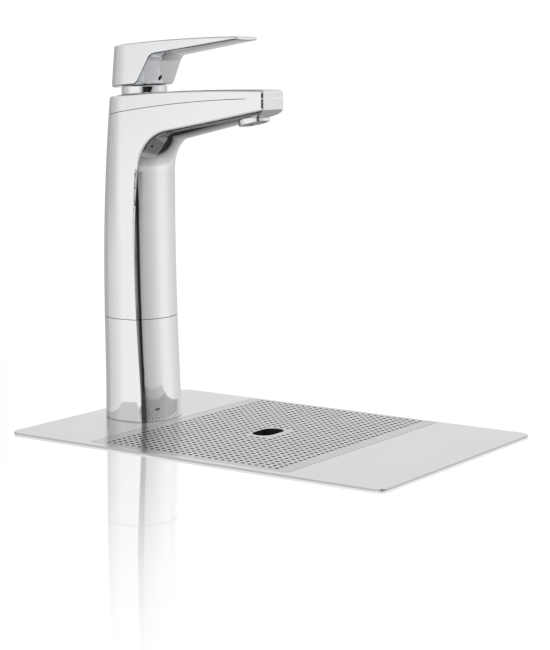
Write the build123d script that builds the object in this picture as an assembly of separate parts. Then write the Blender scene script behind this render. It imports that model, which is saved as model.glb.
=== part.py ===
from build123d import *
import math
import os

os.makedirs("parts", exist_ok=True)

# Countertop water dispenser: a one-piece-looking mixer column on a drip tray.
# Millimetres. Origin: column axis on the counter's top face. +X runs along the
# spout, +Z is up, and the object is symmetric about the XZ plane.

# ---- tray ----
DECK_LENGTH = 285.0
DECK_WIDTH = 188.0
DECK_BACK_X = -36.0
DECK_TOP = 1.3
DECK_CORNER_R = 7.0
SHEET = 0.8
SEAM_GAP = 0.3
GRILLE_X = (28.2, 179.8)
GRILLE_Y = (-88.0, 91.0)
GRILLE_CORNER_R = 3.0
HOLE_R = 1.35
HOLE_PITCH = 5.0
HOLE_COLUMNS = 27
HOLE_ROWS = 35
FIRST_HOLE = (38.4, -82.0)
SLOT_CENTRE = (104.0, 1.5)
SLOT_SIZE = (15.0, 25.0)
CUP_WALL = 1.0
CUP_DEPTH = 11.0
BASIN_X = (33.0, 175.0)
BASIN_Y = (-85.0, 88.0)
BASIN_FLOOR = -20.0
BASIN_CORNER_R = 9.0
BASIN_FLANGE_X = (25.0, 183.0)
BASIN_FLANGE_Y = (-90.5, 92.4)
SEAL_WIDTH = 4.0
SEAL_INSET = 1.2

# ---- drain ----
DRAIN_XY = (146.0, 1.5)
DRAIN_DISH_R = 21.0
DRAIN_DISH_DROP = 3.0
DRAIN_THREAD_R = 12.0
DRAIN_BORE_R = 8.0
DRAIN_TAIL_R = 10.0

# ---- column and spout ----
COLUMN_R = 25.0
LEAN_START_Z = 90.0
LEAN_R = 1527.0
TIP_X = 109.3
TIP_UNDERCUT = 6.5
TIP_UNDERCUT_FOOT_Z = 204.5
TIP_UNDERCUT_TOP_Z = 212.4
TIP_HALF_WIDTH = 12.2
FRONT_X = 20.7
FRONT_FOOT_X = 25.3
FLARE_CORNER_Z = 74.0
FLARE_R = 2350.0
FRONT_CROWN_R = 34.0
BEND_R = 22.0
UNDERSIDE_SLOPE = 13.0
UNDERSIDE_CORNER_Z = 187.1
WALL = 3.0
EDGE_R = 4.0
TIP_EDGE_R = 2.5
RISER_TOP = 70.6
BODY_BOTTOM = 71.0
SEAM_ARC = ((-40.0, 200.9), (33.0, 213.2), (112.0, 218.3))
SEAM_REVEAL = 0.4
TOP_ARC = ((-24.0, 217.5), (30.0, 222.0), (112.0, 223.7))
COVER_WALL = 2.2
COVER_EDGE_R = 1.8
SPOUT_CAVITY_END_X = 80.0

# ---- aerator ----
AERATOR_X = 94.0
AERATOR_R = 10.2
AERATOR_PROUD = 2.2

# ---- mounting ----
COUNTER_THICKNESS = 20.0
SHANK_R = 16.0
SHANK_BORE_R = 11.5
SHANK_BOTTOM = -55.0
INLET_R = 4.0
INLET_Y = 5.5
INLET_SPREAD_Y = 14.0
INLET_END_Z = -88.0
UNION_BOTTOM = -100.0
UNION_R = 9.0
UNION_THREAD_R = 5.8
SOCKET_CLEARANCE = 0.02

# ---- cartridge, on its own axis ----
VALVE_X = 4.5
PIVOT_Z = 208.0
SEAT_TOP = 184.8
CUP_OUTER_R = 15.6
CUP_INNER_R = 13.6
CUP_TOP = 210.0
OUTLET_Z = 197.0
ROTOR_R = 9.55
RUNNING = 0.05
CRANK = 10.0

# ---- collar and lever ----
COLLAR_R = 15.2
COLLAR_TOP = 226.0
COVER_HOLE_R = 15.55
LEVER_R_LOW = 21.9
LEVER_R_HIGH = 18.8
LEVER_LOW_Z = 222.0
LEVER_HIGH_Z = 262.0
LEVER_TIP_X = 89.0
LEVER_TIP_HALF_WIDTH = 12.2
LEVER_TOP_ARC = ((-24.0, 250.0), (30.0, 255.3), (92.0, 257.5))
LEVER_BOTTOM = ((-30.0, 222.9), (40.0, 228.7))
LEVER_UNDER = ((8.0, 219.0), (16.0, 227.0), (24.6, 244.4), (95.0, 255.6))
LEVER_UNDER_R = (10.0, 6.0)
LEVER_CROWN_R = 90.0
LEVER_WALL = 2.3
LEVER_CAVITY_END_X = 23.0
LEVER_TIP_EDGE_R = 2.0
LEVER_UNDER_EDGE_R = 1.5
LEVER_TOP_EDGE_R = 1.2
HUB_R = 6.5
HUB_BOTTOM = 228.4
SPINDLE_R = 3.5
SPINDLE_TOP = 240.0
GRUB_Z = 231.0
GRUB_R = 1.7


def save(name, shape):
    export_step(shape, f"parts/{name}.step")


def tube(outer, inner, z0, z1, x=0.0, y=0.0):
    """Ring or tube on a vertical axis, from z0 up to z1."""
    face = Circle(outer) - Circle(inner) if inner > 0 else Circle(outer)
    return Pos(x, y, z0) * extrude(face, z1 - z0)


def slab(x_span, y_span, z_span, corner_r=0.0):
    """Flat block between the given limits, with round vertical corners."""
    size_x = x_span[1] - x_span[0]
    size_y = y_span[1] - y_span[0]
    face = RectangleRounded(size_x, size_y, corner_r) if corner_r > 0 else Rectangle(size_x, size_y)
    centre = Pos((x_span[0] + x_span[1]) / 2, (y_span[0] + y_span[1]) / 2, z_span[0])
    return centre * extrude(face, z_span[1] - z_span[0])


def grow(span, by):
    return (span[0] - by, span[1] + by)


def side_prism(profile):
    """Solid whose outline is drawn in the XZ plane, wide enough to cross the tap."""
    return extrude(Plane.XZ * make_face(profile), 60, both=True)


def above_arc(points, shift=0.0):
    """Everything above an arc drawn in the XZ plane."""
    start, middle, end = [(x, z + shift) for x, z in points]
    roof = 320.0
    edges = [
        ThreePointArc(start, middle, end),
        Line(end, (end[0], roof)),
        Line((end[0], roof), (start[0], roof)),
        Line((start[0], roof), start),
    ]
    return side_prism(Wire(edges))


def teardrop(centre_x, radius, tip_x, tip_half_width, z):
    """Plan outline: a round back whose tangents run forward to a blunt tip."""
    reach = tip_x - centre_x
    turn = math.atan2(tip_half_width, reach) + math.acos(radius / math.hypot(reach, tip_half_width))
    side_x = centre_x + radius * math.cos(turn)
    side_y = radius * math.sin(turn)
    edges = [
        ThreePointArc((side_x, -side_y, z), (centre_x - radius, 0, z), (side_x, side_y, z)),
        Line((side_x, side_y, z), (tip_x, tip_half_width, z)),
        Line((tip_x, tip_half_width, z), (tip_x, -tip_half_width, z)),
        Line((tip_x, -tip_half_width, z), (side_x, -side_y, z)),
    ]
    return Wire(edges)


def offset_path(points, distance):
    """Open polyline moved sideways, to the left of its direction of travel."""
    lines = []
    for (ax, az), (bx, bz) in zip(points, points[1:]):
        length = math.hypot(bx - ax, bz - az)
        nx, nz = -(bz - az) / length, (bx - ax) / length
        lines.append(((ax + nx * distance, az + nz * distance), (bx - ax, bz - az)))
    moved = [lines[0][0]]
    for (p, d), (q, e) in zip(lines, lines[1:]):
        cross = d[0] * e[1] - d[1] * e[0]
        t = ((q[0] - p[0]) * e[1] - (q[1] - p[1]) * e[0]) / cross
        moved.append((p[0] + t * d[0], p[1] + t * d[1]))
    last, direction = lines[-1]
    moved.append((last[0] + direction[0], last[1] + direction[1]))
    return moved


def turn_sign(a, b, c):
    cross = (b[0] - a[0]) * (c[1] - b[1]) - (b[1] - a[1]) * (c[0] - b[0])
    return 1.0 if cross > 0 else -1.0


def crowned_cutter(points, radii, inset, crown_r, half_width, band):
    """Sweeps a band with a convex back along a path, to cut a crowned face.

    The band lies to the right of the path. A positive inset moves the cut face
    into the material, as for the inside of a wall.
    """
    moved = offset_path(points, inset)
    corner_radii = []
    for i, radius in enumerate(radii):
        corner_radii.append(radius - inset * turn_sign(*points[i:i + 3]))
    path = FilletPolyline(*[(x, 0, z) for x, z in moved], radius=corner_radii)
    start = path % 0
    frame = Plane(origin=path @ 0, x_dir=Vector(0, 1, 0).cross(start), z_dir=start)
    crown = crown_r - inset
    drop = crown - math.sqrt(crown ** 2 - half_width ** 2)
    edges = [
        ThreePointArc((-drop, -half_width), (0, 0), (-drop, half_width)),
        Line((-drop, half_width), (band, half_width)),
        Line((band, half_width), (band, -half_width)),
        Line((band, -half_width), (-drop, -half_width)),
    ]
    return sweep(frame * make_face(Wire(edges)), path=path)


# ---- shared form of riser, body and cover ----

def column_radius(z):
    if z <= LEAN_START_Z:
        return COLUMN_R
    rise = z - LEAN_START_Z
    return COLUMN_R - (LEAN_R - math.sqrt(LEAN_R ** 2 - rise ** 2))


def underside_z(x):
    return UNDERSIDE_CORNER_Z + (x - FRONT_X) * math.tan(math.radians(UNDERSIDE_SLOPE))


def tap_form(inset):
    """Outer form of the whole tap, or the form inside a wall of that thickness."""
    heights = (0.0, LEAN_START_Z, 130.0, 170.0, 200.0, 230.0)
    outlines = []
    for z in heights:
        radius = column_radius(z) - inset
        outlines.append(teardrop(0.0, radius, TIP_X - inset, TIP_HALF_WIDTH - inset, z))
    blank = Solid.make_loft(outlines, False)
    foot_x = FRONT_X + (FRONT_FOOT_X - FRONT_X) * (1 + 2.0 / FLARE_CORNER_Z)
    path = ((foot_x, -2.0), (FRONT_X, FLARE_CORNER_Z), (FRONT_X, UNDERSIDE_CORNER_Z),
            (135.0, underside_z(135.0)))
    cutter = crowned_cutter(path, (FLARE_R, BEND_R), inset, FRONT_CROWN_R, 28.5, 17.0)
    open_space = side_prism(Polyline((33, -5), (33, 170), (35.5, 177.5), (45, 181.5),
                                     (140, underside_z(140) - 10), (140, -5), close=True))
    return blank - cutter - open_space


def outer_form():
    """The tap's outside with its soft front corners and blunt, undercut tip."""
    form = tap_form(0.0)
    back, front = TIP_X - TIP_UNDERCUT, TIP_X + 1.0
    low = TIP_UNDERCUT_FOOT_Z - 4.5
    form -= side_prism(Polyline((back, TIP_UNDERCUT_FOOT_Z), (front, TIP_UNDERCUT_TOP_Z), (front, low),
                                (back, low), close=True))
    corners = []
    for edge in form.edges():
        c = edge.center()
        if abs(c.Y) > 10 and 1 < c.Z < 222 and 5 < c.X < TIP_X - 5:
            corners.append(edge)
    form = fillet(corners, EDGE_R)
    tip = []
    for edge in form.edges():
        c = edge.center()
        if c.X > TIP_X - 0.5 and abs(c.Y) > 11 and c.Z > 212:
            tip.append(edge)
    return fillet(tip, TIP_EDGE_R)


def z_between(low, high):
    return slab((-60, 140), (-60, 60), (low, high))


def aerator_frame():
    """Plane on the spout's underside, facing out along the water jet."""
    slope = math.radians(UNDERSIDE_SLOPE)
    out = Vector(math.sin(slope), 0, -math.cos(slope))
    return Plane(origin=(AERATOR_X, 0, underside_z(AERATOR_X)), x_dir=(0, 1, 0), z_dir=out)


def aerator_ring(outer, inner, start, end):
    face = Circle(outer) - Circle(inner) if inner > 0 else Circle(outer)
    return aerator_frame() * (Pos(0, 0, start) * extrude(face, end - start))


def outlet_path():
    start = (VALVE_X + CUP_INNER_R + 0.6, 0, OUTLET_Z)
    return FilletPolyline(start, (27.0, 0, OUTLET_Z), (SPOUT_CAVITY_END_X + 1.2, 0, 211.0), radius=30)


# ---- tray pieces ----

def build_tray():
    x_span = (DECK_BACK_X, DECK_BACK_X + DECK_LENGTH)
    y_span = (-DECK_WIDTH / 2, DECK_WIDTH / 2)
    deck = slab(x_span, y_span, (0, DECK_TOP), DECK_CORNER_R)
    deck -= slab(grow(x_span, -SHEET), grow(y_span, -SHEET), (-1, DECK_TOP - SHEET), DECK_CORNER_R - SHEET)
    deck -= slab(grow(GRILLE_X, SEAM_GAP), grow(GRILLE_Y, SEAM_GAP), (-1, 5), GRILLE_CORNER_R + SEAM_GAP)
    deck -= tube(SHANK_R + 0.5, 0, -1, 5)
    save("tray_deck", deck)

    ledge_z = DECK_TOP - SHEET
    left = (x_span[0] + SEAL_INSET, BASIN_FLANGE_X[0] - 1.0)
    right = (BASIN_FLANGE_X[1] + 1.0, x_span[1] - SEAL_INSET)
    pads = []
    for span in (left, right):
        pad = slab(span, grow(y_span, -SEAL_INSET), (0, ledge_z), 5)
        pad -= slab(grow(span, -SEAL_WIDTH), grow(y_span, -SEAL_INSET - SEAL_WIDTH), (-1, 2), 2)
        pads.append(pad)
    save("deck_seals", Compound(pads))

    basin = slab(grow(BASIN_X, SHEET), grow(BASIN_Y, SHEET), (BASIN_FLOOR - SHEET, ledge_z), BASIN_CORNER_R)
    basin = fillet(basin.edges().group_by(Axis.Z)[0], 5)
    basin += slab(BASIN_FLANGE_X, BASIN_FLANGE_Y, (ledge_z - SHEET, ledge_z), 3)
    dish_floor = BASIN_FLOOR - DRAIN_DISH_DROP
    basin += tube(DRAIN_DISH_R + SHEET, 0, dish_floor - SHEET, BASIN_FLOOR, *DRAIN_XY)
    hollow = slab(BASIN_X, BASIN_Y, (BASIN_FLOOR, 2), BASIN_CORNER_R - SHEET)
    basin -= fillet(hollow.edges().group_by(Axis.Z)[0], 4.2)
    basin -= tube(DRAIN_DISH_R, 0, dish_floor, BASIN_FLOOR + 1, *DRAIN_XY)
    basin -= tube(DRAIN_THREAD_R + 0.3, 0, -40, 0, *DRAIN_XY)
    save("drip_basin", basin)


def slot_face(grow_by):
    width, length = SLOT_SIZE
    return SlotOverall(length + 2 * grow_by, width + 2 * grow_by, rotation=90)


def build_grille():
    panel = slab(GRILLE_X, GRILLE_Y, (DECK_TOP - SHEET, DECK_TOP), GRILLE_CORNER_R)
    holes = []
    for column in range(HOLE_COLUMNS):
        for row in range(HOLE_ROWS):
            x = FIRST_HOLE[0] + column * HOLE_PITCH
            y = FIRST_HOLE[1] + row * HOLE_PITCH
            beside_x = abs(x - SLOT_CENTRE[0]) < SLOT_SIZE[0] / 2 + 3.0
            beside_y = abs(y - SLOT_CENTRE[1]) < SLOT_SIZE[1] / 2 + 3.0
            if not (beside_x and beside_y):
                holes.append(Pos(x, y) * Circle(HOLE_R))
    top = DECK_TOP
    cuts = Sketch() + holes
    panel -= Pos(0, 0, top - SHEET - 1) * extrude(cuts, SHEET + 2)
    at_slot = Pos(SLOT_CENTRE[0], SLOT_CENTRE[1], 0)
    panel -= at_slot * Pos(0, 0, -1) * extrude(slot_face(0), 4)
    save("grille_panel", panel)

    under = top - SHEET
    cup = Pos(0, 0, under - CUP_DEPTH) * extrude(slot_face(CUP_WALL), CUP_DEPTH)
    cup += Pos(0, 0, under - 1.2) * extrude(slot_face(2.6), 1.2)
    cup -= Pos(0, 0, under - CUP_DEPTH + CUP_WALL) * extrude(slot_face(0), CUP_DEPTH)
    for y in (-6, 0, 6):
        cup -= Pos(0, y, -30) * extrude(Circle(1.6), 40)
    save("finger_cup", at_slot * cup)


def build_drain():
    x, y = DRAIN_XY
    dish = BASIN_FLOOR - DRAIN_DISH_DROP
    under = dish - SHEET
    spigot = tube(DRAIN_DISH_R - 2.5, DRAIN_BORE_R, dish, dish + 1.4, x, y)
    spigot += tube(DRAIN_THREAD_R, DRAIN_BORE_R, under - 22, dish + 0.1, x, y)
    spigot += tube(DRAIN_TAIL_R, DRAIN_BORE_R, under - 48, under - 21, x, y)
    save("drain_spigot", spigot)

    strainer = tube(DRAIN_DISH_R - 4, 0, dish + 1.4, dish + 2.4, x, y)
    strainer += tube(2.2, 0, dish + 2.3, dish + 5.5, x, y)
    for ring_r, count in ((4.6, 6), (8.0, 12), (12.5, 18)):
        for i in range(count):
            a = 2 * math.pi * i / count
            strainer -= tube(1.2, 0, dish, dish + 3, x + ring_r * math.cos(a), y + ring_r * math.sin(a))
    save("drain_strainer", strainer)

    save("drain_gasket", tube(DRAIN_DISH_R - 1.5, DRAIN_THREAD_R + 0.3, under - 2.5, under, x, y))
    nut = Pos(x, y, under - 12.5) * extrude(RegularPolygon(19, 6), 10)
    nut = chamfer(nut.edges().group_by(Axis.Z)[0], 1.0)
    nut -= tube(DRAIN_THREAD_R + SOCKET_CLEARANCE, 0, under - 13, under, x, y)
    save("drain_nut", nut)


# ---- column pieces ----

def build_column(form, form_inside):
    riser = (form - form_inside) & z_between(DECK_TOP, RISER_TOP)
    save("riser", riser)
    loose_inside = tap_form(WALL + 0.3)
    core = tube(SHANK_R + 0.3, 0, -5, 90)
    save("riser_base_gasket", (loose_inside & z_between(DECK_TOP, DECK_TOP + 2.0)) - core)
    save("riser_centring_ring", (loose_inside & z_between(RISER_TOP - 8, RISER_TOP)) - core)

    below_seam = z_between(BODY_BOTTOM, 230) - above_arc(SEAM_ARC)
    cavity = form_inside & z_between(BODY_BOTTOM + 7, 230) & slab((-60, SPOUT_CAVITY_END_X), (-60, 60), (0, 240))
    body = (form & below_seam) - cavity
    body -= tube(SHANK_R + SOCKET_CLEARANCE, 0, 60, BODY_BOTTOM + 8)
    body -= aerator_ring(AERATOR_R + SOCKET_CLEARANCE, 0, -9.5, 12)
    way = outlet_path()
    body -= sweep(Plane(origin=way @ 0, z_dir=way % 0) * Circle(INLET_R + SOCKET_CLEARANCE), path=way)
    bore_start = Plane(origin=way @ 1 - (way % 1) * 2, z_dir=way % 1)
    body -= bore_start * extrude(Circle(INLET_R - 0.8), 12)
    save("tap_body", body)
    save("outlet_tube", sweep(Plane(origin=way @ 0, z_dir=way % 0) * (Circle(INLET_R) - Circle(INLET_R - 0.8)),
                              path=way))
    return loose_inside


def build_cover(form, form_inside):
    above_seam = above_arc(SEAM_ARC, SEAM_REVEAL)
    above_top = above_arc(TOP_ARC)
    cover = (form & above_seam) - above_top
    rim = []
    for edge in cover.edges():
        c = edge.center()
        if edge.length > 3 and abs(c.Z - arc_height(TOP_ARC, c.X)) < 1.2:
            rim.append(edge)
    cover = fillet(rim, COVER_EDGE_R)
    ceiling = above_arc(TOP_ARC, -COVER_WALL)
    inside = tap_form(COVER_WALL)
    cover -= inside - ceiling
    skirt_out = tap_form(WALL + 0.3)
    skirt_in = tap_form(WALL + 1.5)
    skirt_zone = above_arc(SEAM_ARC, -4.0) - above_arc(SEAM_ARC, SEAM_REVEAL + 1.5)
    forward_limit = slab((-60, SPOUT_CAVITY_END_X - 0.4), (-60, 60), (0, 240))
    skirt = (skirt_out - skirt_in) & skirt_zone & forward_limit
    shelf = (tap_form(COVER_WALL - 0.2) - skirt_in) & forward_limit
    shelf &= above_arc(SEAM_ARC, SEAM_REVEAL) - above_arc(SEAM_ARC, SEAM_REVEAL + 1.5)
    cover = cover + skirt + shelf
    cover -= tube(COVER_HOLE_R, 0, 150, 260, VALVE_X)
    cover -= tube(CUP_OUTER_R + 0.4, 0, 150, CUP_TOP + 1, VALVE_X)
    save("top_cover", cover)


def arc_height(points, x):
    """Height at x of the circle through three points of the XZ plane."""
    (x1, z1), (x2, z2), (x3, z3) = points
    d = 2 * (x1 * (z2 - z3) + x2 * (z3 - z1) + x3 * (z1 - z2))
    s1, s2, s3 = x1 ** 2 + z1 ** 2, x2 ** 2 + z2 ** 2, x3 ** 2 + z3 ** 2
    cx = (s1 * (z2 - z3) + s2 * (z3 - z1) + s3 * (z1 - z2)) / d
    cz = (s1 * (x3 - x2) + s2 * (x1 - x3) + s3 * (x2 - x1)) / d
    radius = math.hypot(x1 - cx, z1 - cz)
    return cz + math.sqrt(radius ** 2 - (x - cx) ** 2)


def build_aerator():
    housing = aerator_ring(AERATOR_R, 8.6, -6.0, AERATOR_PROUD)
    lip = housing.edges().filter_by(GeomType.CIRCLE).group_by(Axis.Z)[0]
    housing = fillet(lip, 0.5)
    save("aerator_housing", housing)
    insert = aerator_ring(8.55, 0, -5.0, AERATOR_PROUD - 1.0)
    cells = []
    for ring_r, count in ((0.0, 1), (2.2, 6), (4.4, 12), (6.6, 18)):
        for i in range(count):
            a = 2 * math.pi * i / count
            cells.append(Pos(ring_r * math.cos(a), ring_r * math.sin(a)) * Circle(0.75))
    insert -= aerator_frame() * (Pos(0, 0, -6) * extrude(Sketch() + cells, 12))
    save("aerator_insert", insert)
    save("aerator_washer", aerator_ring(AERATOR_R, 7.5, -7.5, -6.0))


# ---- mounting pieces under the counter ----

def build_mounting():
    save("mounting_shank", tube(SHANK_R, SHANK_BORE_R, SHANK_BOTTOM, BODY_BOTTOM + 7))
    under = -COUNTER_THICKNESS
    clear = SHANK_R + 0.3
    save("counter_rubber_washer", tube(25, clear, under - 2, under))
    save("counter_steel_washer", tube(25, clear, under - 4, under - 2))
    nut = Pos(0, 0, under - 13) * extrude(RegularPolygon(24.5, 6), 9)
    nut = chamfer(nut.edges().group_by(Axis.Z)[0], 1.2)
    nut -= tube(SHANK_R + SOCKET_CLEARANCE, 0, -60, 0)
    save("shank_nut", nut)
    sides = {"cold_inlet_tube": 1, "hot_inlet_tube": -1}
    unions = []
    for name, side in sides.items():
        near, far = side * INLET_Y, side * INLET_SPREAD_Y
        way = FilletPolyline((0, near, SEAT_TOP - 24), (0, near, -62), (0, far, -74), (0, far, INLET_END_Z),
                             radius=12)
        section = Plane(origin=way @ 0, z_dir=way % 0) * (Circle(INLET_R) - Circle(INLET_R - 0.8))
        save(name, sweep(section, path=way))
        union = Pos(0, far, UNION_BOTTOM) * extrude(RegularPolygon(UNION_R, 6), 20)
        union -= tube(UNION_THREAD_R, 0, UNION_BOTTOM - 1, INLET_END_Z, 0, far)
        union -= tube(INLET_R + SOCKET_CLEARANCE, 0, INLET_END_Z - 1, -70, 0, far)
        unions.append(union)
    save("inlet_unions", Compound(unions))


# ---- cartridge pieces ----

def build_valve(loose_inside):
    seat = tube(14.3, 0, SEAT_TOP - 34, SEAT_TOP - 2)
    seat += tube(CUP_OUTER_R, 0, SEAT_TOP - 5, CUP_TOP, VALVE_X)
    seat -= tube(CUP_INNER_R, 0, SEAT_TOP, CUP_TOP + 5, VALVE_X)
    seat = seat & loose_inside
    for y in (-INLET_Y, INLET_Y):
        seat -= tube(INLET_R + SOCKET_CLEARANCE, 0, SEAT_TOP - 40, SEAT_TOP - 24, 0, y)
        seat -= tube(INLET_R - 0.8, 0, SEAT_TOP - 25, SEAT_TOP + 1, 0, y)
    way = outlet_path()
    seat -= Plane(origin=way @ 0 - Vector(6, 0, 0), z_dir=(1, 0, 0)) * extrude(Circle(INLET_R - 0.8), 7)
    seat -= Plane(origin=way @ 0, z_dir=(1, 0, 0)) * extrude(Circle(INLET_R + SOCKET_CLEARANCE), 6)
    save("valve_seat", seat)

    seals = [tube(4.6, 3.3, SEAT_TOP, SEAT_TOP + 1.2, 0, y) for y in (-INLET_Y, INLET_Y)]
    save("port_seals", Compound(seals))
    base_top = SEAT_TOP + 3.7
    base = tube(11.9, 0, SEAT_TOP + 1.2, base_top, VALVE_X)
    disc_top = base_top + 3.0
    fixed = tube(11.5, 0, base_top, disc_top, VALVE_X)
    for y in (-INLET_Y, INLET_Y):
        base -= tube(3.0, 0, SEAT_TOP, base_top + 1, 0, y)
        fixed -= tube(2.4, 0, base_top - 1, disc_top + 1, 0, y)
    save("cartridge_base", base)
    save("fixed_disc", fixed)

    moving_top = disc_top + 3.0
    moving = tube(9.0, 0, disc_top, moving_top, VALVE_X)
    moving -= Pos(VALVE_X, 0, disc_top - 1) * extrude(SlotOverall(9, 5), 2.6)
    save("moving_disc", moving)
    carrier_top = PIVOT_Z - 8.0
    carrier = tube(9.0, 0, moving_top, carrier_top, VALVE_X)
    carrier -= tube(2.3, 0, carrier_top - 4.5, carrier_top + 1, VALVE_X)
    save("disc_carrier", carrier)

    shoulder = CUP_TOP - 4.0
    housing = tube(13.5, 12.1, SEAT_TOP + 1.2, shoulder - 3, VALVE_X)
    housing += tube(13.5, ROTOR_R + RUNNING, shoulder - 3, shoulder, VALVE_X)
    housing += tube(11.5, ROTOR_R + RUNNING, shoulder - 0.5, CUP_TOP + 3, VALVE_X)
    housing -= Pos(VALVE_X + 12, 0, OUTLET_Z) * Box(8, 7, 7)
    save("cartridge_housing", housing)
    save("cartridge_nut", tube(13.5, 11.6, shoulder, CUP_TOP, VALVE_X))
    build_rotor(carrier_top)


def build_rotor(carrier_top):
    low = carrier_top + 0.3
    rotor = tube(ROTOR_R, 0, low, CUP_TOP + 3.5, VALVE_X)
    centre = Pos(VALVE_X, 0, PIVOT_Z)
    rotor -= centre * Sphere(5.5 + RUNNING)
    rotor -= centre * Pos(-0.9, 0, 6) * Box(10.4, 8.2, 12)
    rotor -= centre * Pos(0.8, 0, -5.5) * Box(7.6, 5.4, 9)
    rotor -= Pos(VALVE_X, -12, PIVOT_Z) * Rot(-90, 0, 0) * extrude(Circle(1.2), 24)
    save("cartridge_rotor", rotor)
    pin = Pos(VALVE_X, -9.0, PIVOT_Z) * Rot(-90, 0, 0) * extrude(Circle(1.2), 18)
    save("pivot_pin", pin)

    ball = centre * Sphere(5.5)
    stem = tube(SPINDLE_R, 0, PIVOT_Z + 3, SPINDLE_TOP, VALVE_X)
    finger = tube(1.5, 0, PIVOT_Z - CRANK, PIVOT_Z - 3, VALVE_X)
    knob = Pos(VALVE_X, 0, PIVOT_Z - CRANK) * Sphere(2.2)
    spindle = ball + stem + finger + knob
    spindle -= Pos(VALVE_X, -12, PIVOT_Z) * Rot(-90, 0, 0) * extrude(Circle(1.2 + RUNNING), 24)
    save("spindle", spindle)


def build_collar():
    collar = tube(COLLAR_R, 12.3, CUP_TOP, COLLAR_TOP - 1.5, VALVE_X)
    collar += tube(COLLAR_R, 10.3, COLLAR_TOP - 1.6, COLLAR_TOP, VALVE_X)
    top_edges = collar.edges().filter_by(GeomType.CIRCLE).group_by(Axis.Z)[-1]
    save("dome_collar", fillet(top_edges, 0.6))


# ---- lever ----

def lever_form(inset):
    outlines = []
    for z, radius in ((LEVER_LOW_Z - 6, LEVER_R_LOW + 0.45), (LEVER_HIGH_Z, LEVER_R_HIGH)):
        outlines.append(teardrop(VALVE_X, radius - inset, LEVER_TIP_X - inset,
                                 LEVER_TIP_HALF_WIDTH - inset, z))
    blank = Solid.make_loft(outlines, True)
    cutter = crowned_cutter(LEVER_UNDER, LEVER_UNDER_R, inset, LEVER_CROWN_R, 26.0, 4.8)
    open_space = side_prism(Polyline(*offset_path(LEVER_UNDER, -3.0), (100, 210), (8, 210), close=True))
    return blank - cutter - open_space


def depth_below_lever_top(edge):
    return arc_height(LEVER_TOP_ARC, edge.center().X) - edge.center().Z


def build_lever():
    form = lever_form(0.0) - above_arc(LEVER_TOP_ARC)
    tip = [e for e in form.edges() if e.center().X > LEVER_TIP_X - 0.5 and abs(e.center().Y) > 8]
    form = fillet(tip, LEVER_TIP_EDGE_R)
    form -= side_prism(Polyline(*LEVER_BOTTOM, (40, 200), (-30, 200), close=True))
    under = []
    for edge in form.edges():
        c = edge.center()
        beneath = c.Z < 254 and depth_below_lever_top(edge) > 1.5
        if edge.length > 3 and abs(c.Y) > 8 and 9 < c.X < LEVER_TIP_X - 1 and beneath:
            under.append(edge)
    form = fillet(under, LEVER_UNDER_EDGE_R)
    top = [e for e in form.edges() if e.length > 3 and depth_below_lever_top(e) < 1.5]
    form = fillet(top, LEVER_TOP_EDGE_R)
    inside = lever_form(LEVER_WALL) - above_arc(LEVER_TOP_ARC, -LEVER_WALL - 0.3)
    inside &= slab((-60, LEVER_CAVITY_END_X), (-60, 60), (200, 262))
    lever = form - inside
    lever += tube(HUB_R, 0, HUB_BOTTOM, 250.0, VALVE_X) & form
    lever -= tube(SPINDLE_R + SOCKET_CLEARANCE, 0, 200, SPINDLE_TOP + 0.3, VALVE_X)
    lever -= Pos(VALVE_X, 0, GRUB_Z) * Rot(0, 90, 0) * extrude(Circle(GRUB_R), 40)
    save("lever", lever)
    screw_start = VALVE_X + SPINDLE_R
    screw = Pos(screw_start, 0, GRUB_Z) * Rot(0, 90, 0) * extrude(Circle(GRUB_R - 0.05), 6)
    screw -= Pos(screw_start + 3.5, 0, GRUB_Z) * Rot(0, 90, 0) * extrude(RegularPolygon(1.0, 6), 4)
    save("lever_grub_screw", screw)


outside = outer_form()
inside = tap_form(WALL)
build_tray()
build_grille()
build_drain()
loose_inside = build_column(outside, inside)
build_cover(outside, inside)
build_aerator()
build_mounting()
build_valve(loose_inside)
build_collar()
build_lever()
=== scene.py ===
import math

import bmesh
import bpy
from mathutils import Matrix, Vector


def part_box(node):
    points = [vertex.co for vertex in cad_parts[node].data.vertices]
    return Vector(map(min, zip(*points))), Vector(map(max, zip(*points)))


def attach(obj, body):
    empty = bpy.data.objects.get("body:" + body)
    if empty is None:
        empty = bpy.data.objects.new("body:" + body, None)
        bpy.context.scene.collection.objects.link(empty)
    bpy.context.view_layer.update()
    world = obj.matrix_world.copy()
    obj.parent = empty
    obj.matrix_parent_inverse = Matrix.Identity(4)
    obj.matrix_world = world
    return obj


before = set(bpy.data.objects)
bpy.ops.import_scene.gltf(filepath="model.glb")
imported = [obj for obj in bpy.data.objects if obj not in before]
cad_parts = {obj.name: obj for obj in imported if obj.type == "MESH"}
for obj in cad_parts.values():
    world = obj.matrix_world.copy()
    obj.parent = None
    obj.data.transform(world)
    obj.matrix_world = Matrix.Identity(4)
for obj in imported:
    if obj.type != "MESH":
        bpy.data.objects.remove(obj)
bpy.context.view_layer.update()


# ---------------------------------------------------------------------------
# Deck plate and lift-out grille: 0.8 mm stainless sheet, brushed along its
# length to a soft satin, so that the column shows in it as a blurred streak.
# The rim is folded down on to foam tape and the grille drops into its opening.

def new_finish(name, metallic, roughness, color):
    """Material with its constant values set on the shader itself."""
    finish = bpy.data.materials.new(name)
    finish.use_nodes = True
    shader = finish.node_tree.nodes["Principled BSDF"]
    shader.inputs["Base Color"].default_value = (*color, 1.0)
    shader.inputs["Metallic"].default_value = metallic
    shader.inputs["Roughness"].default_value = roughness
    finish.diffuse_color = (*color, 1.0)
    return finish, finish.node_tree.nodes, finish.node_tree.links, shader


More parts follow.
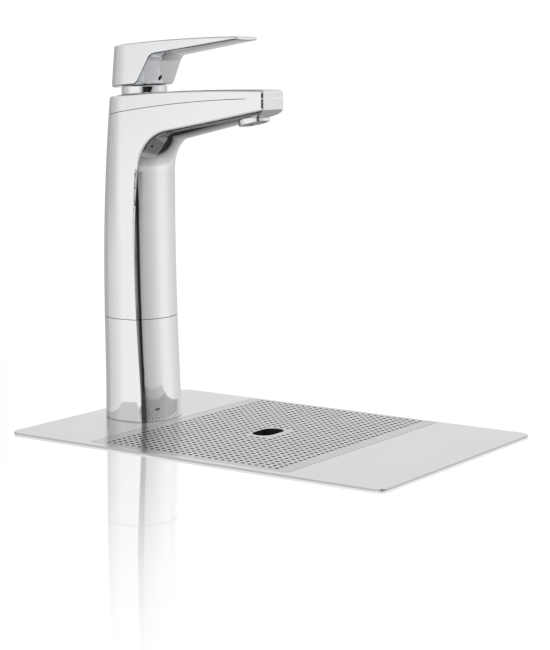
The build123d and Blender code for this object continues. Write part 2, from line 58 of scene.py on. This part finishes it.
def texture_space(nodes, links, stretch=(1.0, 1.0, 1.0)):
    """Object coordinates in metres, stretched along chosen axes."""
    place = nodes.new("ShaderNodeTexCoord")
    mapping = nodes.new("ShaderNodeMapping")
    mapping.inputs["Scale"].default_value = stretch
    links.new(place.outputs["Object"], mapping.inputs["Vector"])
    return mapping.outputs["Vector"]


def grain(nodes, links, where, scale, detail=4.0, rough=0.6):
    """Fine cloudy noise, as a value from 0 to 1."""
    noise = nodes.new("ShaderNodeTexNoise")
    noise.inputs["Scale"].default_value = scale
    noise.inputs["Detail"].default_value = detail
    noise.inputs["Roughness"].default_value = rough
    links.new(where, noise.inputs["Vector"])
    return noise.outputs["Fac"]


def spread(nodes, links, value, low, high, source=(0.3, 0.7)):
    """Maps a texture's value to the range low to high."""
    remap = nodes.new("ShaderNodeMapRange")
    remap.inputs["From Min"].default_value = source[0]
    remap.inputs["From Max"].default_value = source[1]
    remap.inputs["To Min"].default_value = low
    remap.inputs["To Max"].default_value = high
    links.new(value, remap.inputs["Value"])
    return remap.outputs["Result"]


def tint(nodes, links, value, dark, light, shader):
    """Lets the colour wander between two close shades."""
    ramp = nodes.new("ShaderNodeValToRGB")
    ramp.color_ramp.elements[0].position = 0.3
    ramp.color_ramp.elements[0].color = (*dark, 1.0)
    ramp.color_ramp.elements[1].position = 0.7
    ramp.color_ramp.elements[1].color = (*light, 1.0)
    links.new(value, ramp.inputs["Fac"])
    links.new(ramp.outputs["Color"], shader.inputs["Base Color"])


def emboss(nodes, links, value, depth, shader, strength=1.0):
    """Raises the surface by a texture's value; depth is in metres."""
    bump = nodes.new("ShaderNodeBump")
    bump.inputs["Strength"].default_value = strength
    bump.inputs["Distance"].default_value = depth
    links.new(value, bump.inputs["Height"])
    links.new(bump.outputs["Normal"], shader.inputs["Normal"])


def brushed_sheet(name, shade, roughness):
    """Stainless sheet with long fine brush lines along X."""
    dark = tuple(c * 0.94 for c in shade)
    finish, nodes, links, shader = new_finish(name, 1.0, roughness, shade)
    along = texture_space(nodes, links, (14.0, 900.0, 900.0))
    lines = grain(nodes, links, along, 4.0, 3.0)
    cloudy = grain(nodes, links, texture_space(nodes, links), 22.0, 3.0)
    tint(nodes, links, lines, dark, shade, shader)
    wear = nodes.new("ShaderNodeMath")
    wear.operation = "MULTIPLY_ADD"
    links.new(lines, wear.inputs[0])
    wear.inputs[1].default_value = 0.6
    links.new(spread(nodes, links, cloudy, 0.12, 0.28), wear.inputs[2])
    links.new(spread(nodes, links, wear.outputs[0], roughness * 0.75, roughness * 1.3),
              shader.inputs["Roughness"])
    emboss(nodes, links, lines, 0.000012, shader, 0.5)
    return finish


def dress(node, finish):
    """Gives a node of the frame its finish."""
    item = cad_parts[node]
    item.data.materials.clear()
    item.data.materials.append(finish)


dress("tray_deck", brushed_sheet("satin_deck_steel", (0.60, 0.60, 0.598), 0.20))
# The grille is the same sheet as the deck, given a darker colour: painted shade for its perforated field.
dress("grille_panel", brushed_sheet("satin_grille_steel", (0.47, 0.47, 0.468), 0.22))


# ---------------------------------------------------------------------------
# Foam tape under the deck: closed-cell strips, cut by hand and stuck to the
# underside, with the fine open cells showing on the cut edge.

seal_foam, nodes, links, shader = new_finish("seal_foam", 0.0, 0.9, (0.05, 0.05, 0.052))
cells = nodes.new("ShaderNodeTexVoronoi")
cells.inputs["Scale"].default_value = 1500.0
links.new(texture_space(nodes, links), cells.inputs["Vector"])
tint(nodes, links, cells.outputs["Distance"], (0.03, 0.03, 0.032), (0.075, 0.075, 0.078), shader)
emboss(nodes, links, cells.outputs["Distance"], 0.0001, shader, 0.6)
dress("deck_seals", seal_foam)


# ---------------------------------------------------------------------------
# Finger cup: a dark injection-moulded cup pressed in behind the slot of the
# grille, with spark-eroded walls and three drain holes.

def moulded(name, dark, light, roughness, pitch=2600.0, depth=0.00002):
    """Plastic or rubber with the fine pits of an eroded mould."""
    finish, nodes, links, shader = new_finish(name, 0.0, roughness, light)
    where = texture_space(nodes, links)
    eroded = grain(nodes, links, where, pitch, 2.0)
    flow = grain(nodes, links, where, 60.0, 3.0)
    tint(nodes, links, flow, dark, light, shader)
    links.new(spread(nodes, links, flow, roughness * 0.85, roughness * 1.15), shader.inputs["Roughness"])
    emboss(nodes, links, eroded, depth, shader, 0.5)
    return finish


dress("finger_cup", moulded("dark_cup_plastic", (0.008, 0.008, 0.009), (0.020, 0.020, 0.022), 0.42))


# ---------------------------------------------------------------------------
# Drip basin and strainer: deep-drawn stainless with a finer satin from the
# press, and water marks around the drain.

basin_steel, nodes, links, shader = new_finish("drawn_basin_steel", 1.0, 0.34, (0.60, 0.60, 0.595))
where = texture_space(nodes, links)
drawn = grain(nodes, links, where, 900.0, 4.0)
marks = grain(nodes, links, where, 45.0, 5.0)
tint(nodes, links, marks, (0.52, 0.52, 0.515), (0.64, 0.64, 0.635), shader)
links.new(spread(nodes, links, marks, 0.26, 0.44), shader.inputs["Roughness"])
emboss(nodes, links, drawn, 0.00001, shader, 0.4)
dress("drip_basin", basin_steel)
dress("drain_strainer", basin_steel)


# ---------------------------------------------------------------------------
# Drain fitting: white moulded spigot and wing-less nut with a rubber gasket
# between the nut and the basin. The spigot's thread is a raised helix.

drain_plastic = moulded("drain_plastic", (0.62, 0.62, 0.60), (0.72, 0.72, 0.70), 0.38)
black_rubber = moulded("black_rubber", (0.014, 0.014, 0.014), (0.030, 0.030, 0.030), 0.62, 1800.0, 0.00003)
dress("drain_spigot", drain_plastic)
dress("drain_nut", drain_plastic)
dress("drain_gasket", black_rubber)


def smooth_piece(name, mesh, finish, body):
    """Adds a drawn piece that moves with a body of the frame."""
    for face in mesh.polygons:
        face.use_smooth = True
    mesh.materials.append(finish)
    piece = bpy.data.objects.new(name, mesh)
    bpy.context.scene.collection.objects.link(piece)
    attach(piece, body)


THREAD_PITCH = 0.0020
THREAD_HEIGHT = 0.0007
STEPS_PER_TURN = 48
RUN_OUT_STEPS = 24


def thread(name, centre, radius, low, high, finish):
    """Raised helix with a rounded V section, tapering out at both ends."""
    turns = (high - low) / THREAD_PITCH
    steps = int(turns * STEPS_PER_TURN)
    section = ((-0.42, -0.35), (-0.12, 0.92), (0.12, 0.92), (0.42, -0.35))
    mesh_maker = bmesh.new()
    rings = []
    for i in range(steps + 1):
        angle = 2 * math.pi * turns * i / steps
        z = low + (high - low) * i / steps
        fade = min(1.0, i / RUN_OUT_STEPS, (steps - i) / RUN_OUT_STEPS)
        ring = []
        for across, out in section:
            r = radius + THREAD_HEIGHT * (out * fade if out > 0 else out)
            ring.append(mesh_maker.verts.new((centre[0] + r * math.cos(angle),
                                              centre[1] + r * math.sin(angle),
                                              z + across * THREAD_PITCH)))
        rings.append(ring)
    for near, far in zip(rings, rings[1:]):
        for k in range(4):
            mesh_maker.faces.new((near[k], near[(k + 1) % 4], far[(k + 1) % 4], far[k]))
    mesh_maker.faces.new(rings[0])
    mesh_maker.faces.new(list(reversed(rings[-1])))
    bmesh.ops.recalc_face_normals(mesh_maker, faces=mesh_maker.faces)
    mesh = bpy.data.meshes.new(name)
    mesh_maker.to_mesh(mesh)
    mesh_maker.free()
    smooth_piece(name, mesh, finish, "tap")


DRAIN_THREAD_RADIUS = 0.0120
DRAIN_THREAD_BELOW_NUT = (0.0085, 0.0015)
nut_low, nut_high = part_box("drain_nut")
drain_axis = ((nut_low[0] + nut_high[0]) / 2, (nut_low[1] + nut_high[1]) / 2)
thread_low, thread_high = (nut_low[2] - below for below in DRAIN_THREAD_BELOW_NUT)
thread("drain_thread", drain_axis, DRAIN_THREAD_RADIUS, thread_low, thread_high, drain_plastic)


# ---------------------------------------------------------------------------
# Riser, column, cover and collar: brass castings, polished and chrome plated
# to a mirror. Wiping leaves faint soft smears that only show in the gloss.

# Painted shade in the seams of the chrome: how far the occlusion reaches, and the colour it darkens to.
SEAM_SHADOW_REACH = 0.0016
SEAM_SHADOW = (0.03, 0.03, 0.032, 1.0)


def plated_chrome(name, shade, gloss):
    """Mirror chrome with painted shade, its colour going dark in seams and gaps."""
    finish, nodes, links, shader = new_finish(name, 1.0, gloss, shade)
    where = texture_space(nodes, links)
    smears = grain(nodes, links, texture_space(nodes, links, (1.0, 1.0, 0.35)), 34.0, 4.0)
    peel = grain(nodes, links, where, 140.0, 2.0)
    tint(nodes, links, smears, tuple(c * 0.985 for c in shade), shade, shader)
    links.new(spread(nodes, links, smears, gloss * 0.6, gloss * 1.8), shader.inputs["Roughness"])
    emboss(nodes, links, peel, 0.0000015, shader, 0.25)
    # Painted shade: ambient occlusion darkens the base colour towards SEAM_SHADOW in seams and gaps between
    # parts.
    crevice = nodes.new("ShaderNodeAmbientOcclusion")
    crevice.samples = 6
    crevice.inputs["Distance"].default_value = SEAM_SHADOW_REACH
    darken = nodes.new("ShaderNodeMix")
    darken.data_type = "RGBA"
    darken.inputs[6].default_value = SEAM_SHADOW
    links.new(spread(nodes, links, crevice.outputs["AO"], 0.0, 1.0, (0.35, 0.80)), darken.inputs["Factor"])
    polished = shader.inputs["Base Color"].links[0].from_socket
    links.new(polished, darken.inputs[7])
    links.new(darken.outputs[2], shader.inputs["Base Color"])
    return finish


CHROME_SHADE = (0.86, 0.87, 0.885)
CHROME_GLOSS = 0.035
tap_chrome = plated_chrome("polished_tap_chrome", CHROME_SHADE, CHROME_GLOSS)
for node in ("riser", "tap_body", "top_cover", "dome_collar", "aerator_housing"):
    dress(node, tap_chrome)
dress("riser_base_gasket", black_rubber)

pale_plastic = moulded("pale_valve_plastic", (0.70, 0.69, 0.64), (0.80, 0.79, 0.74), 0.40)
dress("riser_centring_ring", pale_plastic)


# ---------------------------------------------------------------------------
# Water outlet: a chromed ring that screws into the spout, a grey moulded
# insert with fine cells and a rubber washer behind it.

dress("aerator_insert", moulded("aerator_insert_plastic", (0.34, 0.35, 0.36), (0.44, 0.45, 0.46), 0.35))
dress("aerator_washer", black_rubber)


# ---------------------------------------------------------------------------
# Mounting under the counter: turned brass shank with a raised thread, brass
# lock nut, zinc-plated washer over a rubber one.

def turned_metal(name, dark, light, roughness):
    """Metal with fine lathe rings around Z and a patchy, dulled shine."""
    finish, nodes, links, shader = new_finish(name, 1.0, roughness, light)
    lathe = grain(nodes, links, texture_space(nodes, links, (60.0, 60.0, 2400.0)), 1.0, 3.0)
    dull = grain(nodes, links, texture_space(nodes, links), 70.0, 4.0)
    tint(nodes, links, dull, dark, light, shader)
    links.new(spread(nodes, links, dull, roughness * 0.7, roughness * 1.4), shader.inputs["Roughness"])
    emboss(nodes, links, lathe, 0.00001, shader, 0.5)
    return finish


brass = turned_metal("turned_brass", (0.56, 0.39, 0.16), (0.70, 0.52, 0.25), 0.26)
zinc = turned_metal("zinc_plated_steel", (0.48, 0.48, 0.47), (0.60, 0.60, 0.58), 0.34)
for node in ("mounting_shank", "shank_nut"):
    dress(node, brass)
dress("counter_rubber_washer", black_rubber)
dress("counter_steel_washer", zinc)
SHANK_RADIUS = 0.0160
PLAIN_SHANK_END = 0.0015
GAP_BELOW_NUT = 0.0010
shank_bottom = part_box("mounting_shank")[0][2]
nut_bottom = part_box("shank_nut")[0][2]
thread("shank_thread", (0.0, 0.0), SHANK_RADIUS, shank_bottom + PLAIN_SHANK_END, nut_bottom - GAP_BELOW_NUT,
       brass)


# ---------------------------------------------------------------------------
# Inlets: two drawn copper tubes that leave the shank and end in brass hexagon
# unions, darkened a little where the heat of soldering reached.

copper, nodes, links, shader = new_finish("drawn_copper", 1.0, 0.28, (0.72, 0.40, 0.26))
pull_lines = grain(nodes, links, texture_space(nodes, links, (900.0, 900.0, 12.0)), 2.0, 3.0)
tarnish = grain(nodes, links, texture_space(nodes, links), 55.0, 5.0)
tint(nodes, links, tarnish, (0.50, 0.24, 0.14), (0.74, 0.42, 0.28), shader)
links.new(spread(nodes, links, tarnish, 0.42, 0.20), shader.inputs["Roughness"])
emboss(nodes, links, pull_lines, 0.00001, shader, 0.4)
for node in ("cold_inlet_tube", "hot_inlet_tube", "outlet_tube"):
    dress(node, copper)
dress("inlet_unions", brass)


# ---------------------------------------------------------------------------
# Valve inside the column: brass seat, moulded cartridge with lapped ceramic
# discs, blue rotor and brass spindle on a steel pin.

ceramic, nodes, links, shader = new_finish("lapped_ceramic", 0.0, 0.12, (0.86, 0.84, 0.79))
fired = grain(nodes, links, texture_space(nodes, links), 420.0, 3.0)
tint(nodes, links, fired, (0.82, 0.80, 0.75), (0.88, 0.86, 0.82), shader)
links.new(spread(nodes, links, fired, 0.08, 0.18), shader.inputs["Roughness"])
for node in ("cartridge_housing", "cartridge_base", "disc_carrier"):
    dress(node, pale_plastic)
for node in ("fixed_disc", "moving_disc"):
    dress(node, ceramic)
for node in ("valve_seat", "cartridge_nut", "spindle"):
    dress(node, brass)
dress("port_seals", black_rubber)
dress("cartridge_rotor", moulded("rotor_plastic", (0.03, 0.10, 0.28), (0.05, 0.15, 0.36), 0.36))
dress("pivot_pin", zinc)


# ---------------------------------------------------------------------------
# Lever: a hollow zinc casting, polished and plated, held on the spindle by a
# grub screw low on its front face.

dress("lever", plated_chrome("polished_lever_chrome", CHROME_SHADE, CHROME_GLOSS))
dress("lever_grub_screw", zinc)


# ---------------------------------------------------------------------------
# Counter: a glossy white table with the cut-outs that the shank and the basin
# need, so that what hangs below it stays hidden from above.

def flat_ring_mesh(name, holes, reach):
    """Large flat sheet with rectangular openings, made of strips between them."""
    xs = sorted({-reach, reach, *[v for h in holes for v in h[0]]})
    ys = sorted({-reach, reach, *[v for h in holes for v in h[1]]})
    maker = bmesh.new()
    points = {(x, y): maker.verts.new((x, y, 0.0)) for x in xs for y in ys}
    for x0, x1 in zip(xs, xs[1:]):
        for y0, y1 in zip(ys, ys[1:]):
            cx, cy = (x0 + x1) / 2, (y0 + y1) / 2
            inside = any(h[0][0] < cx < h[0][1] and h[1][0] < cy < h[1][1] for h in holes)
            if not inside:
                maker.faces.new([points[p] for p in ((x0, y0), (x1, y0), (x1, y1), (x0, y1))])
    mesh = bpy.data.meshes.new(name)
    maker.to_mesh(mesh)
    maker.free()
    return mesh


SHANK_CUT_OUT = 0.018
BASIN_CLEARANCE = 0.0005
TABLE_REACH = 14.0
TABLE_BELOW_DECK = 0.00002
basin_low, basin_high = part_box("drip_basin")
basin_opening = tuple((basin_low[i] - BASIN_CLEARANCE, basin_high[i] + BASIN_CLEARANCE) for i in (0, 1))
openings = [((-SHANK_CUT_OUT, SHANK_CUT_OUT), (-SHANK_CUT_OUT, SHANK_CUT_OUT)), basin_opening]
table = bpy.data.objects.new("counter_top", flat_ring_mesh("counter_top", openings, TABLE_REACH))
table.location = (0.0, 0.0, -TABLE_BELOW_DECK)
bpy.context.scene.collection.objects.link(table)

LACQUER_GLOSS = 0.03
LACQUER_IOR = 1.45
MIRROR_FADE_START, MIRROR_FADE_END = 0.16, 0.62
MIRROR_STRENGTH = 1.75
table_gloss, nodes, links, shader = new_finish("glossy_white_table", 0.0, LACQUER_GLOSS, (0.07, 0.07, 0.07))
where = texture_space(nodes, links)
ripple = grain(nodes, links, where, 9.0, 2.0)
tint(nodes, links, ripple, (0.05, 0.05, 0.05), (0.07, 0.07, 0.07), shader)
shader.inputs["Specular IOR Level"].default_value = 0.0
shader.inputs["Emission Color"].default_value = (1.0, 1.0, 1.0, 1.0)
shader.inputs["Emission Strength"].default_value = 0.98
polish = nodes.new("ShaderNodeBsdfGlossy")
polish.inputs["Color"].default_value = (1.0, 1.0, 1.0, 1.0)
polish.inputs["Roughness"].default_value = LACQUER_GLOSS
sheen_by_angle = nodes.new("ShaderNodeFresnel")
sheen_by_angle.inputs["IOR"].default_value = LACQUER_IOR
from_tap = nodes.new("ShaderNodeVectorMath")
from_tap.operation = "LENGTH"
links.new(where, from_tap.inputs[0])
fade = nodes.new("ShaderNodeMapRange")
fade.interpolation_type = "SMOOTHSTEP"
fade.inputs["From Min"].default_value = MIRROR_FADE_START
fade.inputs["From Max"].default_value = MIRROR_FADE_END
fade.inputs["To Min"].default_value = MIRROR_STRENGTH
fade.inputs["To Max"].default_value = 0.0
links.new(from_tap.outputs["Value"], fade.inputs["Value"])
shine = nodes.new("ShaderNodeMath")
shine.operation = "MULTIPLY"
shine.use_clamp = True
links.new(sheen_by_angle.outputs["Fac"], shine.inputs[0])
links.new(fade.outputs["Result"], shine.inputs[1])
surface = nodes.new("ShaderNodeMixShader")
links.new(shine.outputs["Value"], surface.inputs["Fac"])
links.new(shader.outputs["BSDF"], surface.inputs[1])
links.new(polish.outputs["BSDF"], surface.inputs[2])
links.new(surface.outputs["Shader"], nodes["Material Output"].inputs["Surface"])
table.data.materials.append(table_gloss)
table.visible_glossy = False


# ---------------------------------------------------------------------------
# Studio: a white backdrop that only the camera sees, and round the object a
# light tent with grey and black cards, so that the chrome has lines to mirror.

def domed_backdrop(name, radius, rings=12, sides=48):
    """Half sphere that starts a little below the table."""
    maker = bmesh.new()
    rows = []
    for i in range(rings):
        lift = math.radians(-1.5 + 91.0 * i / rings)
        row = []
        for k in range(sides):
            turn_to = 2 * math.pi * k / sides
            row.append(maker.verts.new((radius * math.cos(lift) * math.cos(turn_to),
                                        radius * math.cos(lift) * math.sin(turn_to),
                                        radius * math.sin(lift))))
        rows.append(row)
    for low, high in zip(rows, rows[1:]):
        for k in range(sides):
            maker.faces.new((low[k], low[(k + 1) % sides], high[(k + 1) % sides], high[k]))
    maker.faces.new(rows[-1])
    mesh = bpy.data.meshes.new(name)
    maker.to_mesh(mesh)
    maker.free()
    return mesh


BACKDROP_RADIUS = 12.0
backdrop = bpy.data.objects.new("backdrop", domed_backdrop("backdrop", BACKDROP_RADIUS))
bpy.context.scene.collection.objects.link(backdrop)
paper = bpy.data.materials.new("backdrop_paper")
paper.use_nodes = True
paper.node_tree.nodes.clear()
paper_glow = paper.node_tree.nodes.new("ShaderNodeEmission")
paper_glow.inputs["Color"].default_value = (1.0, 1.0, 1.0, 1.0)
paper_glow.inputs["Strength"].default_value = 1.02
paper_out = paper.node_tree.nodes.new("ShaderNodeOutputMaterial")
paper.node_tree.links.new(paper_glow.outputs["Emission"], paper_out.inputs["Surface"])
backdrop.data.materials.append(paper)
backdrop.visible_glossy = False
backdrop.visible_diffuse = False
backdrop.visible_shadow = False
backdrop.visible_transmission = False

tent = bpy.data.worlds.new("light_tent")
bpy.context.scene.world = tent
tent.use_nodes = True
nodes, links = tent.node_tree.nodes, tent.node_tree.links
nodes.clear()
sky = nodes.new("ShaderNodeTexCoord")
split = nodes.new("ShaderNodeSeparateXYZ")
links.new(sky.outputs["Generated"], split.inputs["Vector"])
turn = nodes.new("ShaderNodeMath")
turn.operation = "ARCTAN2"
links.new(split.outputs["Y"], turn.inputs[0])
links.new(split.outputs["X"], turn.inputs[1])
around = nodes.new("ShaderNodeMapRange")
around.inputs["From Min"].default_value = -math.pi
around.inputs["From Max"].default_value = math.pi
links.new(turn.outputs[0], around.inputs["Value"])


def bearing(degrees):
    """Position on the ramp of a bearing counted from -Y towards +X."""
    return ((degrees - 90.0 + 180.0) % 360.0) / 360.0


def grey_ramp(stops):
    """Ramp of greys from pairs of position and brightness."""
    ramp_node = nodes.new("ShaderNodeValToRGB")
    ramp = ramp_node.color_ramp
    stops = sorted(stops)
    for element, (position, value) in zip(ramp.elements, (stops[0], stops[-1])):
        element.position = position
        element.color = (value, value, value, 1.0)
    for position, value in stops[1:-1]:
        ramp.elements.new(position).color = (value, value, value, 1.0)
    return ramp_node


# Brightness of the cards by bearing in degrees: the ones that upright chrome
# mirrors, the ones at the height of spout and lever, and the walls above.
low_cards = [
    (-157, 0.66), (-142, 0.52), (-128, 0.42), (-107, 0.48), (-89, 0.585), (-76, 0.68), (-55, 0.78), (-37, 0.86),
    (-27, 0.97), (24, 1.0), (46, 0.95), (50, 0.88), (55, 0.62), (61, 0.28), (66, 0.03), (70.5, 0.012), (72, 0.42),
    (80, 0.53), (92, 0.60), (102, 0.69), (112, 0.78), (124, 0.93), (138, 0.95), (146, 0.92), (162, 0.81),
    (177, 0.75), (200, 0.66)]
eye_level_cards = [
    (-157, 0.60), (-128, 0.40), (-107, 0.46), (-76, 0.56), (-55, 0.68), (-37, 0.92), (-27, 0.98), (10, 0.97),
    (22, 0.60), (34, 0.012), (78, 0.012), (82, 0.45), (102, 0.62), (124, 0.85), (138, 0.90), (162, 0.70),
    (200, 0.60)]
upper_walls = [
    (-178, 1.05), (-139, 1.05), (-122, 0.50), (-70, 0.68), (-37, 0.88), (12, 0.97), (46, 0.85), (57, 0.30),
    (62, 0.03), (71, 0.02), (74, 0.50), (96, 0.66), (124, 0.90), (140, 0.95), (165, 0.88)]


def facing_ramp(levels):
    """Brightness of the tent by bearing."""
    ramp_node = grey_ramp([(bearing(degrees), level) for degrees, level in levels])
    links.new(around.outputs["Result"], ramp_node.inputs["Fac"])
    return ramp_node.outputs["Color"]


def blend_up(lower, upper, start, end):
    """Goes from one brightness to another between two heights of the view ray."""
    rise = nodes.new("ShaderNodeMapRange")
    rise.inputs["From Min"].default_value = start
    rise.inputs["From Max"].default_value = end
    links.new(split.outputs["Z"], rise.inputs["Value"])
    mix = nodes.new("ShaderNodeMix")
    mix.data_type = "RGBA"
    links.new(rise.outputs["Result"], mix.inputs["Factor"])
    links.new(lower, mix.inputs[6])
    links.new(upper, mix.inputs[7])
    return mix.outputs[2]


EYE_LEVEL_START, EYE_LEVEL_FULL = -0.09, -0.02
WALLS_START, WALLS_FULL = 0.03, 0.12
CEILING_START, CEILING_FULL = 0.30, 0.45
ceiling = grey_ramp([(0.0, 1.0), (0.35, 1.0), (0.55, 0.70), (0.80, 0.42), (1.0, 0.38)])
links.new(split.outputs["Z"], ceiling.inputs["Fac"])
walls = blend_up(facing_ramp(low_cards), facing_ramp(eye_level_cards), EYE_LEVEL_START, EYE_LEVEL_FULL)
walls = blend_up(walls, facing_ramp(upper_walls), WALLS_START, WALLS_FULL)
tent_light = blend_up(walls, ceiling.outputs["Color"], CEILING_START, CEILING_FULL)
depth = nodes.new("ShaderNodeMath")
depth.operation = "ADD"
depth.inputs[1].default_value = 1.0
links.new(split.outputs["Z"], depth.inputs[0])
under_table = grey_ramp([
    (0.0, 0.25), (0.12, 0.05), (0.27, 0.03), (0.35, 0.35), (0.50, 0.60), (0.70, 0.80), (0.76, 1.0)])
links.new(depth.outputs["Value"], under_table.inputs["Fac"])
glow = nodes.new("ShaderNodeBackground")
links.new(tent_light, glow.inputs["Color"])
links.new(under_table.outputs["Color"], glow.inputs["Strength"])
out = nodes.new("ShaderNodeOutputWorld")
links.new(glow.outputs["Background"], out.inputs["Surface"])

SOFTBOX_SIDE = 1.6
SOFTBOX_WATTS = 8.0
SOFTBOX_PLACE = (0.1, 0.1, 1.9)
lamp = bpy.data.lights.new("overhead_softbox", "AREA")
lamp.shape = "RECTANGLE"
lamp.size, lamp.size_y = SOFTBOX_SIDE, SOFTBOX_SIDE
lamp.energy = SOFTBOX_WATTS
softbox = bpy.data.objects.new("overhead_softbox", lamp)
softbox.location = SOFTBOX_PLACE
softbox.visible_glossy = False
bpy.context.scene.collection.objects.link(softbox)


# ---------------------------------------------------------------------------
# Camera: a long lens a little above the lever, looking along the spout's near
# side.

LENS_MM = 98.69
CAMERA_PLACE = (0.757354, -0.939526, 0.241906)
azimuth, elevation = math.radians(34.5485), math.radians(8.4265)
camera_data = bpy.data.cameras.new("camera")
camera_data.lens = LENS_MM
camera_data.sensor_width = 36.0
camera_data.clip_start = 0.01
camera_data.clip_end = 60.0
camera = bpy.data.objects.new("camera", camera_data)
right = Vector((math.cos(azimuth), math.sin(azimuth), 0.0))
back = Vector((math.sin(azimuth) * math.cos(elevation), -math.cos(azimuth) * math.cos(elevation),
               math.sin(elevation)))
up = back.cross(right)
turned = Matrix((right, up, back)).transposed().to_4x4()
camera.matrix_world = Matrix.Translation(CAMERA_PLACE) @ turned
bpy.context.scene.collection.objects.link(camera)
bpy.context.scene.camera = camera
bpy.context.scene.view_settings.view_transform = "Standard"
